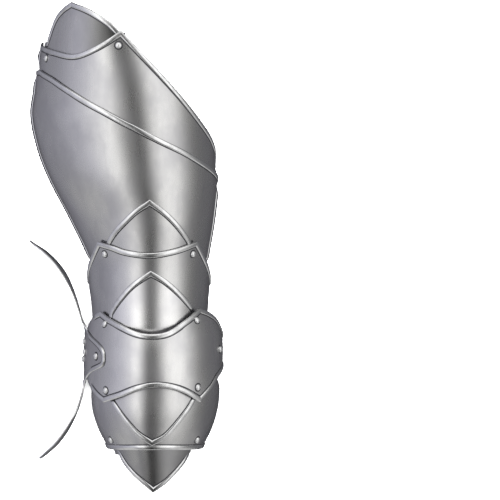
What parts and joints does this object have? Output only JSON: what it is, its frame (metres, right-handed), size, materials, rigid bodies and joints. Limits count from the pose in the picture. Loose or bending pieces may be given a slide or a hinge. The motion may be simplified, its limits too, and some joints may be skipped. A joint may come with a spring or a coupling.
{
  "type": "articulated cuisse with poleyn",
  "caption": "Steel plate defence for the thigh and knee: nested plates with pointed leaf lames, raised rims, riveted hinges and a side wing.",
  "frame": {"origin": "middle of the bounding box, on the floor that the rear edges lie on", "axes": "+Y up the leg towards the hip, +X towards the inside of the leg, +Z out of the front of the plates"},
  "size_m": [0.2122, 0.539, 0.1171],
  "materials": {
    "plate_steel": "satin brushed",
    "rivet_steel": "polished"
  },
  "bodies": {
    "thigh": {"thigh_upper_plate": "plate_steel", "thigh_main_plate": "plate_steel", "thigh_leaf_lame": "plate_steel", "top_hinge_rivet_outer": "rivet_steel", "top_hinge_rivet_inner": "rivet_steel", "hidden_pin_1": "plate_steel", "hidden_pin_2": "plate_steel", "hidden_pin_3": "plate_steel"},
    "top_lame": {"top_lame": "plate_steel"},
    "upper_knee": {"knee_upper_lame": "plate_steel", "knee_leaf_lame": "plate_steel", "thigh_hinge_rivet_outer": "rivet_steel", "thigh_hinge_rivet_inner": "rivet_steel"},
    "knee": {"knee_cop": "plate_steel", "fan_plate": "plate_steel", "knee_hinge_rivet_outer": "rivet_steel", "knee_hinge_rivet_inner": "rivet_steel", "shin_hinge_rivet_outer": "rivet_steel", "shin_hinge_rivet_inner": "rivet_steel", "fan_rivet_upper": "rivet_steel", "fan_rivet_middle": "rivet_steel", "fan_rivet_lower": "rivet_steel", "fan_tab_rivet": "rivet_steel", "strap_rivet": "rivet_steel"},
    "lower_knee": {"shin_leaf_lame": "plate_steel", "shin_main_lame": "plate_steel", "point_hinge_rivet_outer": "rivet_steel", "point_hinge_rivet_inner": "rivet_steel"},
    "point_lame": {"shin_point_lame": "plate_steel"}
  },
  "joints": [
    {"name": "top_lame_pivot", "type": "hinge", "parent": "thigh", "child": "top_lame", "pos_m": [-0.04776, 0.21484, 0.07984], "axis": [-0.7766, -0.1288, -0.6166], "range_deg": [0, 12]},
    {"name": "thigh_to_knee_pivot", "type": "hinge", "parent": "thigh", "child": "upper_knee", "pos_m": [0.02404, -0.00612, 0.06876], "axis": [0.9998, -0.0028, -0.0173], "range_deg": [0, 16]},
    {"name": "knee_cop_pivot", "type": "hinge", "parent": "upper_knee", "child": "knee", "pos_m": [0.02501, -0.08282, 0.06404], "axis": [0.9994, 0.0334, -0.0029], "range_deg": [0, 18]},
    {"name": "lower_knee_pivot", "type": "hinge", "parent": "knee", "child": "lower_knee", "pos_m": [0.02783, -0.15422, 0.06889], "axis": [0.9991, 0.0375, 0.0188], "range_deg": [0, 18]},
    {"name": "point_lame_pivot", "type": "hinge", "parent": "lower_knee", "child": "point_lame", "pos_m": [0.02962, -0.21052, 0.04202], "axis": [0.9999, -0.0002, -0.0107], "range_deg": [0, 18]}
  ]
}
